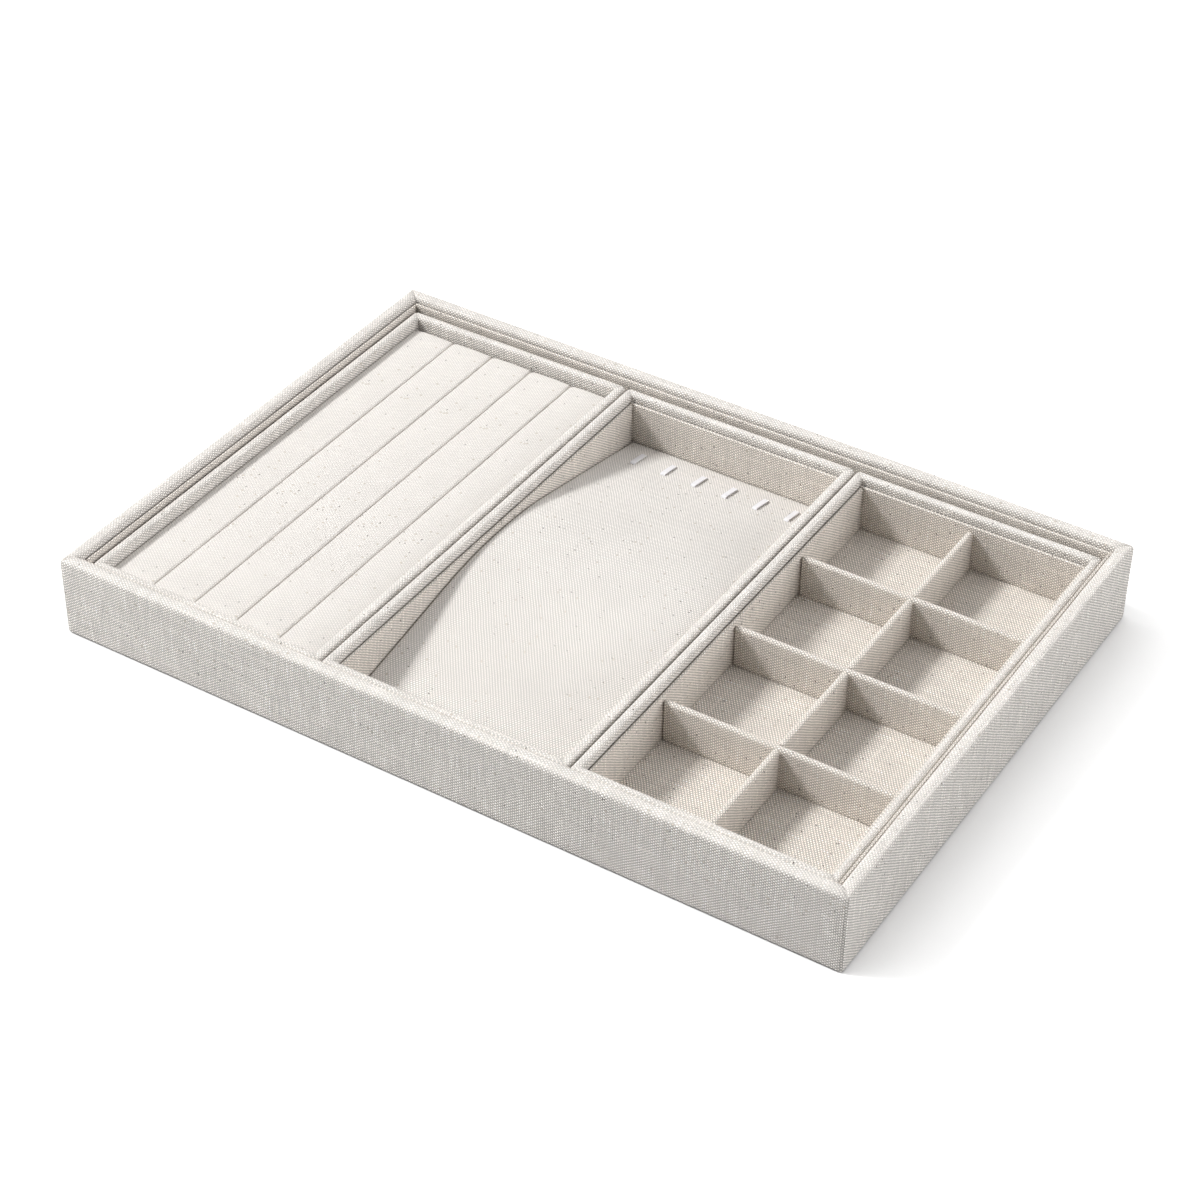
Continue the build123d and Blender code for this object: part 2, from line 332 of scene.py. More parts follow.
def lengths_along(points, closed):
    """The distance run from the first point to each point, and back to the first if closed."""
    total, runs = 0.0, [0.0]
    ends = points[1:] + ([points[0]] if closed else [])
    for before, after in zip(points, ends):
        total += math.dist(before, after)
        runs.append(total)
    return runs


# Wraps: the linen that goes up a tray's walls, over the rim and down inside

class Walls:
    """The four walls of a tray, read from the frame, with the cloth outside drawn in by a pull."""

    def __init__(self, prefix, corner_radius, rim_radius, pull):
        low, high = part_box(prefix + "_wrap")
        base_board_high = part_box(prefix + "_base_board")[1]
        left_board_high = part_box(prefix + "_left_board")[1]
        self.low = low + Vector((pull, pull, 0))
        self.high = high - Vector((pull, pull, 0))
        self.wall = left_board_high.x - self.low.x + CLOTH
        self.outer_cloth = CLOTH - pull
        self.inside_bottom = base_board_high.z
        self.corner_radius = corner_radius
        self.rim_radius = rim_radius

    def sides(self):
        """Each side's first corner, its direction, the way inward and its length, anticlockwise."""
        low, high = self.low, self.high
        return [
            (Vector((low.x, low.y, 0)), Vector((1, 0, 0)), Vector((0, 1, 0)), high.x - low.x),
            (Vector((high.x, low.y, 0)), Vector((0, 1, 0)), Vector((-1, 0, 0)), high.y - low.y),
            (Vector((high.x, high.y, 0)), Vector((-1, 0, 0)), Vector((0, -1, 0)), high.x - low.x),
            (Vector((low.x, high.y, 0)), Vector((0, -1, 0)), Vector((1, 0, 0)), high.y - low.y),
        ]

    def corner_reach(self, inset):
        """How far from a tray's corner the cloth begins to turn, at one inset from its outside."""
        return max(self.corner_radius, inset + FOLD_RADIUS)

    def straight_spot(self, length, inset, step, steps):
        """On the straight stretch of a side: (along, inset, fold, run of the weave)."""
        reach = self.corner_reach(inset)
        along = reach + (length - 2 * reach) * step / steps
        return along, inset, 0.0, along

    def corner_spot(self, length, inset, turn):
        """Round the corner that ends a side: (along, inset, fold, run of the weave)."""
        reach = self.corner_reach(inset)
        radius = reach - inset
        along = length - reach + radius * math.sin(turn)
        depth = reach - radius * math.cos(turn)
        fold = math.sin(2 * turn) if radius < self.corner_radius else 0.0
        return along, depth, fold, length - reach + radius * turn


def wrap_section(walls, hem, crown):
    """The cloth's closed section as (inset, height): the shown side, and the side that is glued down."""
    bottom, top, inside = walls.low.z, walls.high.z, walls.inside_bottom
    wall, rim, edge = walls.wall, walls.rim_radius, HEM_EDGE_RADIUS
    shown = [(hem, bottom)]
    shown += line((hem, bottom), (edge, bottom), HEM_ROWS)
    shown += arc(edge, bottom + edge, edge, 270, 180, HEM_EDGE_ROWS)
    shown += line((0, bottom + edge), (0, top - rim), WALL_ROWS)
    shown += arc(rim, top - rim, rim, 180, 90, RIM_ROWS)
    flat = line((rim, top), (wall - rim, top), RIM_TOP_ROWS)
    shown += [(d, z + crown * (1 - abs(2 * d - wall) / (wall - 2 * rim)) ** 0.5) for d, z in flat]
    shown += arc(wall - rim, top - rim, rim, 90, 0, RIM_ROWS)
    shown += line((wall, top - rim), (wall, inside), INSIDE_ROWS)
    shown += [(wall, inside)]
    glued = [(wall - CLOTH, inside)]
    glued += arc(wall - rim, top - rim, rim - CLOTH, 0, 90, GLUED_ROWS)
    glued += arc(rim, top - rim, rim - walls.outer_cloth, 90, 180, GLUED_ROWS)
    glued += [(walls.outer_cloth, bottom + CLOTH), (hem, bottom + CLOTH)]
    return shown, glued


def section_normals(section):
    """The outward normal at each point of a closed section, as (inset part, height part)."""
    normals = []
    for i in range(len(section)):
        before, after = section[i - 1], section[(i + 1) % len(section)]
        run = (after[0] - before[0], after[1] - before[1])
        size = max(math.hypot(*run), 1e-9)
        normals.append((-run[1] / size, run[0] / size))
    return normals


def make_wrap(prefix, body, walls, hem, crown, fold_depth, seed):
    """The wrap of one tray as a closed skin of cloth, with a mitred fold over each corner of its rim."""
    node = prefix + "_wrap"
    shown, glued = wrap_section(walls, hem, crown)
    section = shown + glued
    normals = section_normals(section)
    runs = lengths_along(section, True)
    middle = walls.wall / 2
    skin = Skin()
    rings, maps = [], []
    start = 0.0

    def place(side, along, inset, height, fold, index):
        """A point of the cloth: the shown side waves along its normal, and dips where the rim folds."""
        corner, direction, inward, _ = side
        point = corner + direction * along + inward * inset
        is_shown = index < len(shown)
        push = CLOTH_WAVE * wave((point.x, point.y, height), CLOTH_WAVE_LENGTH, seed) if is_shown else 0.0
        height += push * normals[index][1]
        if is_shown and height > walls.high.z - walls.rim_radius:
            share = fold * max(0.0, 1 - abs(inset - middle) / middle) ** 0.5
            height -= fold_depth * share
        point += inward * push * normals[index][0]
        return (point.x, point.y, height)

    def add_station(side, spots):
        """A ring of cloth across the wall, with one spot for each point of the section."""
        ring, ring_map = [], []
        for index, (along, inset, fold, run) in enumerate(spots):
            ring.append(place(side, along, inset, section[index][1], fold, index))
            ring_map.append((start + run, runs[index]))
        ring_map.append((ring_map[0][0], runs[-1]))
        rings.append(skin.add_ring(ring))
        maps.append(ring_map)

    for side in walls.sides():
        length = side[3]
        steps = round(length / WRAP_SPACING)
        for step in range(steps + 1):
            add_station(side, [walls.straight_spot(length, inset, step, steps) for inset, _ in section])
        for step in range(1, CORNER_STEPS):
            turn = math.radians(90 * step / CORNER_STEPS)
            add_station(side, [walls.corner_spot(length, inset, turn) for inset, _ in section])
        quarter = walls.corner_radius * math.pi / 2
        start += length - 2 * walls.corner_radius + quarter

    first_map = [(start + u, v) for u, v in maps[0]]
    for i, ring in enumerate(rings[:-1]):
        skin.join_rings(ring, rings[i + 1], maps[i], maps[i + 1])
    skin.join_rings(rings[-1], rings[0], maps[-1], first_map)

    made = skin.piece(node + "_linen", linen_wrap, body)
    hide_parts(node)
    shown_length = lengths_along(shown, False)[-1]


# Cards, rolls and the ramp: closed forms lofted along one axis

def rounded_section(half, bottom, top, top_radius, bottom_radius, inset, side_rows, top_rows):
    """A closed section as (across, height), anticlockwise from the foot of the right side."""
    half -= inset
    bottom += inset
    top -= inset
    limit = RADIUS_LIMIT_SHARE * (top - bottom)
    top_radius = min(max(top_radius - inset, LEAST_RADIUS), limit)
    bottom_radius = min(max(bottom_radius - inset, LEAST_RADIUS), limit)
    right = arc(half - bottom_radius, bottom + bottom_radius, bottom_radius, 270, 360, FOOT_ROWS)
    right += line((half, bottom + bottom_radius), (half, top - top_radius), side_rows)
    right += arc(half - top_radius, top - top_radius, top_radius, 0, 90, SHOULDER_ROWS)
    left = [(-across, height) for across, height in reversed(right)]
    flat_top = line((half - top_radius, top), (top_radius - half, top), top_rows)
    flat_bottom = line((bottom_radius - half, bottom), (half - bottom_radius, bottom), top_rows)
    return right + flat_top + left + flat_bottom


def end_stations(start, end, radius, spacing):
    """(place, inset) from end to end of a form whose ends are rounded with one radius."""
    turns = [math.radians(90 * i / END_STEPS) for i in range(END_STEPS + 1)]
    first = [(start + radius * (1 - math.cos(t)), radius * (1 - math.sin(t))) for t in turns]
    last = [(end - (place - start), inset) for place, inset in reversed(first)]
    inner_start, inner_end = first[-1][0], last[0][0]
    count = max(1, round((inner_end - inner_start) / spacing))
    middle = [(inner_start + (inner_end - inner_start) * i / count, 0.0) for i in range(1, count)]
    return first + middle + last


def make_loft(name, body, axis, stations, section_at, shape, material, turned=False):
    """Lofts a closed form along X or Y. section_at gives a section for a station; shape moves each point."""
    skin = Skin()
    along = 0.0
    before_place = stations[0][0]
    reference = lengths_along(section_at(stations[len(stations) // 2]), True)
    for station in stations:
        place = station[0]
        section = section_at(station)
        points = []
        for across, height in section:
            point = (place, across, height) if axis == "x" else (across, place, height)
            points.append(shape(point))
        along += abs(place - before_place)
        ring_map = [(run, along) if turned else (along, run) for run in reference]
        skin.extend_form(points, ring_map, section)
        before_place = place
    skin.end_form(section)
    return skin.piece(name, material, body)


def make_card(name, body, axis, low, high, top_radius, end_radius, seed):
    """A linen-covered card on edge or lying flat, filling a box, with all its edges rounded."""
    first, across = (0, 1) if axis == "x" else (1, 0)
    half = (high[across] - low[across]) / 2
    centre = (high[across] + low[across]) / 2
    upright = high.z - low.z > 2 * half
    if upright:
        half -= CARD_PLAY
        low = low + Vector((0, 0, CARD_PLAY))
    bottom_radius = min(CARD_FOOT_RADIUS, half / 2)
    end_radius = min(end_radius, CARD_END_LIMIT_SHARE * (high.z - low.z))
    rows = UPRIGHT_CARD_ROWS if upright else FLAT_CARD_ROWS
    pushed = across if upright else 2

    def section_at(station):
        return rounded_section(half, low.z, high.z, top_radius, bottom_radius, station[1], *rows)

    def shape(point):
        point = list(point)
        point[across] += centre
        point[pushed] += CARD_WAVE * wave(point, CLOTH_WAVE_LENGTH, seed)
        return tuple(point)

    stations = end_stations(low[first], high[first], end_radius, CARD_SPACING)
    return make_loft(name, body, axis, stations, section_at, shape, linen_lining_shaded)


# Node-based materials

class Nodes:
    """A short way to write a material's node tree."""

    def __init__(self, name):
        self.material = bpy.data.materials.new(name)
        self.material.use_nodes = True
        self.tree = self.material.node_tree
        self.tree.nodes.clear()

    def add(self, kind, inputs=None, output=0, **settings):
        """Adds a node, sets its settings and inputs, and returns one of its outputs."""
        node = self.tree.nodes.new("ShaderNode" + kind)
        for key, value in settings.items():
            setattr(node, key, value)
        for key, value in (inputs or {}).items():
            if isinstance(value, bpy.types.NodeSocket):
                self.tree.links.new(value, node.inputs[key])
            else:
                node.inputs[key].default_value = value
        return node.outputs[output]

    def math(self, operation, first, second=0.5, third=0.5):
        """A Math node."""
        return self.add("Math", {0: first, 1: second, 2: third}, operation=operation)

    def ramp(self, value, low, high, to_low=0.0, to_high=1.0, smooth=True):
        """Maps a value from one range to another, clamped."""
        kind = "SMOOTHSTEP" if smooth else "LINEAR"
        inputs = {"Value": value, "From Min": low, "From Max": high, "To Min": to_low, "To Max": to_high}
        return self.add("MapRange", inputs, interpolation_type=kind)

    def mix(self, factor, first, second, blend="MIX"):
        """A colour Mix node."""
        return self.add("Mix", {0: factor, 6: first, 7: second}, output=2, data_type="RGBA", blend_type=blend)

    def xyz(self, x, y, z=0.0):
        """A vector from three values."""
        return self.add("CombineXYZ", {0: x, 1: y, 2: z})

    def split(self, vector):
        """The three parts of a vector."""
        node = self.tree.nodes.new("ShaderNodeSeparateXYZ")
        self.tree.links.new(vector, node.inputs[0])
        return node.outputs

    def noise(self, vector, scale, detail=2.0, roughness=0.5):
        """A noise value from 0 to 1."""
        inputs = {"Vector": vector, "Scale": scale, "Detail": detail, "Roughness": roughness}
        return self.add("TexNoise", inputs)

    def chance(self, x, y, z):
        """A value from 0 to 1 that is drawn anew for each cell."""
        return self.add("TexWhiteNoise", {"Vector": self.xyz(x, y, z)}, noise_dimensions="3D")

    def finish(self, shader):
        """Joins the shader to the material's output and returns the material."""
        node = self.tree.nodes.new("ShaderNodeOutputMaterial")
        self.tree.links.new(shader, node.inputs["Surface"])
        return self.material


def grey(value):
    """A grey as a colour."""
    return (value, value, value, 1.0)


def count_threads(n, place):
    """How many threads lie between the map's origin and a place, along U and V, with a slow drift."""
    u_metres, v_metres, _ = n.split(place)
    moved_place = n.add("VectorMath", {0: place, 1: DRIFT_OFFSET}, operation="ADD")
    drift_u = n.noise(place, 1 / THREAD_DRIFT_LENGTH)
    drift_v = n.noise(moved_place, 1 / THREAD_DRIFT_LENGTH)
    u = n.math("MULTIPLY_ADD", u_metres, 1 / THREAD_U, n.math("MULTIPLY", drift_u, THREAD_DRIFT))
    v = n.math("MULTIPLY_ADD", v_metres, 1 / THREAD_V, n.math("MULTIPLY", drift_v, THREAD_DRIFT))
    return u, v


def plain_weave(n, u, v):
    """Where the warp lies on top, and how far the threads bulge, both from 0 to 1."""
    sine_u = n.math("SINE", n.math("MULTIPLY", u, math.pi))
    sine_v = n.math("SINE", n.math("MULTIPLY", v, math.pi))
    cross = n.math("MULTIPLY", sine_u, sine_v)
    over = n.ramp(cross, -CROSSING_BLUR, CROSSING_BLUR)
    bulge = n.math("POWER", n.math("ABSOLUTE", cross), BULGE_POWER)
    return over, bulge


def thread_tones(n, u, v, over, seed):
    """A tone of the thread on top that differs from its neighbours' and changes slowly along it."""
    column, row = n.math("FLOOR", u), n.math("FLOOR", v)
    warp_place = n.xyz(n.math("MULTIPLY", column, THREAD_STEP), n.math("MULTIPLY", v, THREAD_PACE), seed)
    weft_place = n.xyz(
        n.math("MULTIPLY", u, THREAD_PACE), n.math("MULTIPLY", row, THREAD_STEP), seed + WEFT_SEED_STEP,
    )
    warp_tone = n.noise(warp_place, 1.0, detail=1.0)
    weft_tone = n.noise(weft_place, 1.0, detail=1.0)
    return n.add("Mix", {0: over, 2: weft_tone, 3: warp_tone}, data_type="FLOAT")


def thread_relief(n, over, bulge, slub, thin):
    """The height of the threads: bulging crossings, thick slubs and thin stretches."""
    height = n.math("MULTIPLY", bulge, n.ramp(over, 0.0, 1.0, WEFT_HEIGHT, 1.0))
    height = n.math("ADD", height, n.math("MULTIPLY", slub, SLUB_HEIGHT))
    return n.math("SUBTRACT", height, n.math("MULTIPLY", thin, THIN_DEPTH))


def weave_tone(n, over, bulge, upright_shade_contrast, top_shade_contrast):
    """Painted shade where the threads dip apart with painted light on their crowns, and a darker weft, partly
    the yarn's own tone and partly painted shade. All of it is deeper on upright faces than on faces that look
    up: painted shade that follows which way the face looks.
    """
    upward = n.split(n.add("NewGeometry", output=1))[2]
    # Painted shade: the weave's tones are made deeper or shallower by which way the face looks
    depth = n.ramp(upward, *UPWARD_RANGE, upright_shade_contrast, top_shade_contrast)
    # Painted shade where the threads dip apart, and painted light on their crowns
    gap_shade = n.math("MULTIPLY_ADD", bulge, GAP_SHADE_SPAN, GAP_SHADE_TONE)
    # Darker where the weft lies on top: partly the yarn's own tone and partly painted shade
    layer_tone_and_shade = n.math("MULTIPLY_ADD", over, WARP_SPAN, WEFT_TONE_AND_SHADE)
    tone = n.math("MULTIPLY_ADD", depth, gap_shade, 1.0)
    return n.math("MULTIPLY", tone, n.math("MULTIPLY_ADD", depth, layer_tone_and_shade, 1.0))


def add_flecks(n, base, u, v, over, specks, seed):
    """Single tan crossings and small dark specks on the base colour."""
    tan_chance = n.chance(n.math("FLOOR", u), n.math("FLOOR", v), seed)
    tan_fleck = n.math("MULTIPLY", n.math("GREATER_THAN", tan_chance, 1 - TAN_FLECK_SHARE), over)
    speck_chance = n.chance(
        n.math("FLOOR", n.math("MULTIPLY", u, THREAD_U / SPECK_WIDTH)),
        n.math("FLOOR", n.math("MULTIPLY", v, THREAD_V / SPECK_LENGTH)),
        seed + SPECK_SEED_STEP,
    )
    core = 1 - SPECK_CORE_SHARE * specks
    speck_depth = n.ramp(speck_chance, 1 - specks, core, 0.0, SPECK_DEPTH, False)
    base = n.mix(n.math("MULTIPLY", tan_fleck, TAN_FLECK_DEPTH), base, TAN_FLECK)
    return n.mix(speck_depth, base, DARK_SPECK)


def linen_material(name, colour, upright_shade_contrast, top_shade_contrast, streaks, relief, specks, seed):
    """Natural linen in plain weave: threads with slubs, painted shade between the threads, flecks and a
    slight nap.

    The painted shade of the weave takes one depth on upright faces and another on faces that look up.
    """
    n = Nodes(name)
    place = n.add("UVMap", uv_map="Weave")
    u, v = count_threads(n, place)
    over, bulge = plain_weave(n, u, v)
    thread_tone = thread_tones(n, u, v, over, seed)
    slub = n.ramp(thread_tone, *SLUB_RANGE)
    thin = n.ramp(thread_tone, *THIN_RANGE)
    height = thread_relief(n, over, bulge, slub, thin)

    tone = weave_tone(n, over, bulge, upright_shade_contrast, top_shade_contrast)
    streak = n.ramp(thread_tone, *STREAK_RANGE, 1 - streaks, 1 + streaks, False)
    tone = n.math("MULTIPLY_ADD", slub, streaks, n.math("MULTIPLY", tone, streak))
    cloud = n.ramp(n.noise(place, 1 / CLOUD_LENGTH), *CLOUD_RANGE, 1 - CLOUD_DEPTH, 1 + CLOUD_DEPTH, False)
    tone = n.math("MULTIPLY", tone, cloud)
    base = n.mix(1.0, colour, n.xyz(tone, tone, tone), "MULTIPLY")
    base = add_flecks(n, base, u, v, over, specks, seed)

    bump = n.add("Bump", {"Strength": 1.0, "Distance": relief * THREAD_RELIEF, "Height": height})
    inputs = {
        "Base Color": base,
        "Roughness": 0.88,
        "Specular IOR Level": 0.25,
        "Sheen Weight": 0.08,
        "Sheen Roughness": 0.5,
        "Normal": bump,
    }
    return n.finish(n.add("BsdfPrincipled", inputs))


def grain_material(name, colour, second, scale, stretch, roughness, relief):
    """A plain pressed or foamed material: two tones in a fine grain, with its own relief."""
    n = Nodes(name)
    place = n.add("TexCoord", output=3)
    stretched = n.add("Mapping", {"Vector": place, "Scale": stretch})
    fine = n.noise(stretched, scale, GRAIN_DETAIL, GRAIN_ROUGHNESS)
    patchy = n.noise(place, 1 / PATCH_LENGTH)
    tone = n.math("MULTIPLY_ADD", patchy, PATCH_SHARE, n.math("MULTIPLY", fine, 1 - PATCH_SHARE))
    base = n.mix(n.ramp(tone, *GRAIN_RANGE), colour, second)
    bump = n.add("Bump", {"Strength": relief, "Distance": GRAIN_RELIEF, "Height": fine})
    inputs = {"Base Color": base, "Roughness": roughness, "Specular IOR Level": 0.2, "Normal": bump}
    return n.finish(n.add("BsdfPrincipled", inputs))


def tape_material():
    """Smooth white tape with fine ribs along it, and painted shade in the grooves between them."""
    n = Nodes("loop_tape")
    along, across, _ = n.split(n.add("UVMap", uv_map="Weave"))
    ribs = n.math("SINE", n.math("MULTIPLY", across, math.tau / TAPE_RIB))
    picks = n.math("SINE", n.math("MULTIPLY", along, math.tau / TAPE_PICK))
    height = n.math("MULTIPLY_ADD", picks, TAPE_PICK_SHARE, ribs)
    peak = 1 + TAPE_PICK_SHARE
    # Painted shade: the tape darkens where its relief is lowest, in the grooves
    tone = n.ramp(height, -peak, peak, TAPE_GROOVE_SHADE, 1.0, False)
    base = n.mix(1.0, TAPE_WHITE, n.xyz(tone, tone, tone), "MULTIPLY")
    bump = n.add("Bump", {"Strength": 0.35, "Distance": TAPE_RELIEF, "Height": height})
    inputs = {
        "Base Color": base,
        "Roughness": 0.45,
        "Specular IOR Level": 0.4,
        "Sheen Weight": 0.2,
        "Normal": bump,
    }
    return n.finish(n.add("BsdfPrincipled", inputs))


linen_wrap = linen_material(
    "linen_wrap",
    colour=(0.875, 0.834, 0.790, 1.0),
    upright_shade_contrast=1.4,
    top_shade_contrast=0.7,
    streaks=0.17,
    relief=1.0,
    specks=0.0024,
    seed=1,
)
# Painted shade: the lining is the wrap's linen made darker and warmer for the shade inside the trays
linen_lining_shaded = linen_material(
    "linen_lining_shaded",
    colour=(0.875, 0.814, 0.748, 1.0),
    upright_shade_contrast=1.25,
    top_shade_contrast=1.2,
    streaks=0.13,
    relief=1.0,
    specks=0.0045,
    seed=2,
)
linen_pad = linen_material(
    "linen_pad",
    colour=(0.80, 0.763, 0.724, 1.0),
    upright_shade_contrast=0.5,
    top_shade_contrast=0.5,
    streaks=0.04,
    relief=0.6,
    specks=0.0016,
    seed=3,
)
linen_ramp = linen_material(
    "linen_ramp",
    colour=(0.80, 0.765, 0.727, 1.0),
    upright_shade_contrast=0.8,
    top_shade_contrast=0.8,
    streaks=0.045,
    relief=0.7,
    specks=0.0026,
    seed=4,
)
tape = tape_material()
board = grain_material(
    "fibreboard",
    colour=(0.42, 0.31, 0.2, 1),
    second=(0.55, 0.43, 0.3, 1),
    scale=900.0,
    stretch=(1, 1, 0.4),
    roughness=0.85,
    relief=0.3,
)
greyboard = grain_material(
    "greyboard",
    colour=(0.4, 0.38, 0.35, 1),
    second=(0.52, 0.5, 0.46, 1),
    scale=700.0,
    stretch=(1, 1, 1),
    roughness=0.9,
    relief=0.3,
)
foam = grain_material(
    "foam",
    colour=(0.8, 0.77, 0.68, 1),
    second=(0.9, 0.88, 0.8, 1),
    scale=1800.0,
    stretch=(1, 1, 1),
    roughness=0.95,
    relief=0.9,
)
felt = grain_material(
    "base_felt",
    colour=(0.30, 0.27, 0.24, 1),
    second=(0.42, 0.385, 0.34, 1),
    scale=1300.0,
    stretch=(1, 0.6, 1),
    roughness=0.95,
    relief=0.8,
)

SLOT_MATERIALS = {
    "linen": linen_lining_shaded,
    "pad_linen": linen_pad,
    "board": board,
    "card": greyboard,
    "foam": foam,
    "base_felt": felt,
    "loop_tape": tape,
}


def dress_cad_nodes():
    """Gives every CAD node the procedural material of its slot."""
    slots = {row["node"]: row["material_slot"] for row in frame["record"]["subparts"]}
    for name, node in frame["nodes"].items():
        node.data.materials.clear()
        node.data.materials.append(SLOT_MATERIALS[slots[name]])


# The pieces

def build_wraps():
    """The linen wraps of the four trays."""
    outer = Walls("outer", OUTER_CORNER_RADIUS, OUTER_RIM_RADIUS, pull=0.0)
    make_wrap("outer", "outer_tray", outer, OUTER_HEM, OUTER_CROWN, OUTER_FOLD_DEPTH, seed=1)
    for seed, tray in enumerate(TRAYS, 2):
        walls = Walls(tray, INSERT_CORNER_RADIUS, INSERT_RIM_RADIUS, pull=INSERT_PULL)
        make_wrap(tray, tray, walls, INSERT_HEM, INSERT_CROWN, INSERT_FOLD_DEPTH, seed)


def build_linings(prefix, body, seed):
    """The four cards inside one tray's walls, a hair's breadth off them and off each other."""
    for offset, side in enumerate(SIDES):
        node = f"{prefix}_{side}"
        low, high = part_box(node)
        if side in ("front", "back"):
            axis = "x"
            gap = Vector((0, WALL_GAP, 0))
        else:
            axis = "y"
            gap = Vector((WALL_GAP, 0, 0))
            low.y += SEAM_GAP
            high.y -= SEAM_GAP
        if side in ("front", "left"):
            low = low + gap
        else:
            high = high - gap
        radii = (LINING_EDGE_RADIUS, LINING_END_RADIUS)
        made = make_card(node + "_linen", body, axis, low, high, *radii, seed + offset)
        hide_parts(node)


def build_floor_lining(node, body, seed):
    """The lined card on the floor of one tray."""
    low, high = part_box(node)
    radii = (FLOOR_EDGE_RADIUS, FLOOR_EDGE_RADIUS)
    made = make_card(node + "_linen", body, "y", low, high, *radii, seed)
    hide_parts(node)


def build_dividers():
    """Three cross dividers that run through, and the long divider's four stretches between them."""
    body = "compartment_tray"
    crossings = []
    for seed, node in enumerate(CROSS_DIVIDERS, CROSS_DIVIDER_SEED):
        low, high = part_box(node)
        low.x += SEAM_GAP
        high.x -= SEAM_GAP
        crossings.append((low.y, high.y))
        radii = (DIVIDER_EDGE_RADIUS, CROSS_DIVIDER_END_RADIUS)
        made = make_card(node + "_linen", body, "x", low, high, *radii, seed)
        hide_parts(node)
    low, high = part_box("long_divider")
    starts = [low.y] + [after for _, after in crossings]
    ends = [before for before, _ in crossings] + [high.y]
    for number, (start, end) in enumerate(zip(starts, ends), 1):
        piece_low = Vector((low.x, start + SEAM_GAP, low.z))
        piece_high = Vector((high.x, end - SEAM_GAP, high.z - LONG_DIVIDER_DROP))
        name = f"long_divider_linen_{number}"
        radii = (DIVIDER_EDGE_RADIUS, LONG_DIVIDER_END_RADIUS)
        made = make_card(name, body, "y", piece_low, piece_high, *radii, LONG_DIVIDER_SEED + number)
    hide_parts("long_divider")


def roll_draw(number, row, seed):
    """A value from -1 to 1 that differs from roll to roll."""
    return wave((number, row, 0), ROLL_DRAW_LENGTH, seed)


def build_roll(number):
    """One foam roll in its linen sleeve, with drawn-in shoulders and soft ends."""
    node = f"ring_roll_cover_{number}"
    low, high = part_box(node)
    centre = (low.x + high.x) / 2
    half = (high.x - low.x) / 2
    top = high.z - ROLL_CROWN
    back_end = high.y - ROLL_END_PLAY * (1 + roll_draw(number, row=0, seed=3))
    front_end = low.y + ROLL_END_PLAY * (1 + roll_draw(number, row=5, seed=4))
    lift = ROLL_LIFT * roll_draw(number, row=9, seed=5)

    def section_at(station):
        drawn = station[1] / ROLL_END_LENGTH
        return rounded_section(
            half=half - ROLL_END_SIDE_DRAW * drawn,
            bottom=low.z,
            top=top - ROLL_END_TOP_DRAW * drawn,
            top_radius=ROLL_EDGE_RADIUS,
            bottom_radius=ROLL_FOOT_RADIUS,
            inset=0.0,
            side_rows=8,
            top_rows=14,
        )

    def shape(point):
        across, along, height = point
        share = max(0.0, 1 - (across / half) ** 2)
        rise = (height - low.z) / (top - low.z)
        bulge = ROLL_BULGE * wave((centre + across, along, 0), ROLL_BULGE_LENGTH, number)
        waist = ROLL_WAIST * wave((number, along, 0), ROLL_WAIST_LENGTH, number + ROLL_WAIST_SEED)
        height += rise * (ROLL_CROWN * share + lift + bulge)
        across += waist * rise
        return (centre + across, along, height)

    made = make_loft(
        f"ring_roll_linen_{number}",
        body="ring_tray",
        axis="y",
        stations=end_stations(front_end, back_end, ROLL_END_LENGTH, ROLL_SPACING),
        section_at=section_at,
        shape=shape,
        material=linen_pad,
        turned=True,
    )
    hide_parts(node)


def ramp_height(y, low, high):
    """The ramp's top at a place along it: two straight slopes and a round crest."""
    middle = (low.y + high.y) / 2
    half = (high.y - low.y) / 2
    rise = high.z - low.z - RAMP_END_HEIGHT
    slope = rise / (half - RAMP_CREST_REACH / 2)
    away = abs(y - middle)
    if away > RAMP_CREST_REACH:
        return low.z + RAMP_END_HEIGHT + slope * (half - away)
    crest_drop = slope * RAMP_CREST_REACH / 2
    return high.z - crest_drop * (away / RAMP_CREST_REACH) ** 2


def build_ramp():
    """The necklace ramp's cover: a taut pad, slightly puffed between its long edges."""
    node = "necklace_ramp_cover"
    low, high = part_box(node)
    centre = (low.x + high.x) / 2
    half = (high.x - low.x) / 2

    def section_at(station):
        return rounded_section(
            half=half,
            bottom=low.z,
            top=ramp_height(station[0], low, high),
            top_radius=RAMP_EDGE_RADIUS,
            bottom_radius=RAMP_FOOT_RADIUS,
            inset=station[1],
            side_rows=5,
            top_rows=70,
        )

    def shape(point):
        across, along, height = point
        rise = (height - low.z) / (ramp_height(along, low, high) - low.z)
        puff = RAMP_PUFF * max(0.0, 1 - (across / half) ** RAMP_PUFF_POWER)
        soft = RAMP_WAVE * wave((across, along, 0), RAMP_WAVE_LENGTH, RAMP_SEED)
        height += rise * (puff - RAMP_SINK + soft)
        return (centre + across, along, height)

    made = make_loft(
        "necklace_ramp_linen",
        body="necklace_tray",
        axis="y",
        stations=end_stations(low.y, high.y, RAMP_END_RADIUS, RAMP_SPACING),
        section_at=section_at,
        shape=shape,
        material=linen_ramp,
    )
    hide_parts(node)


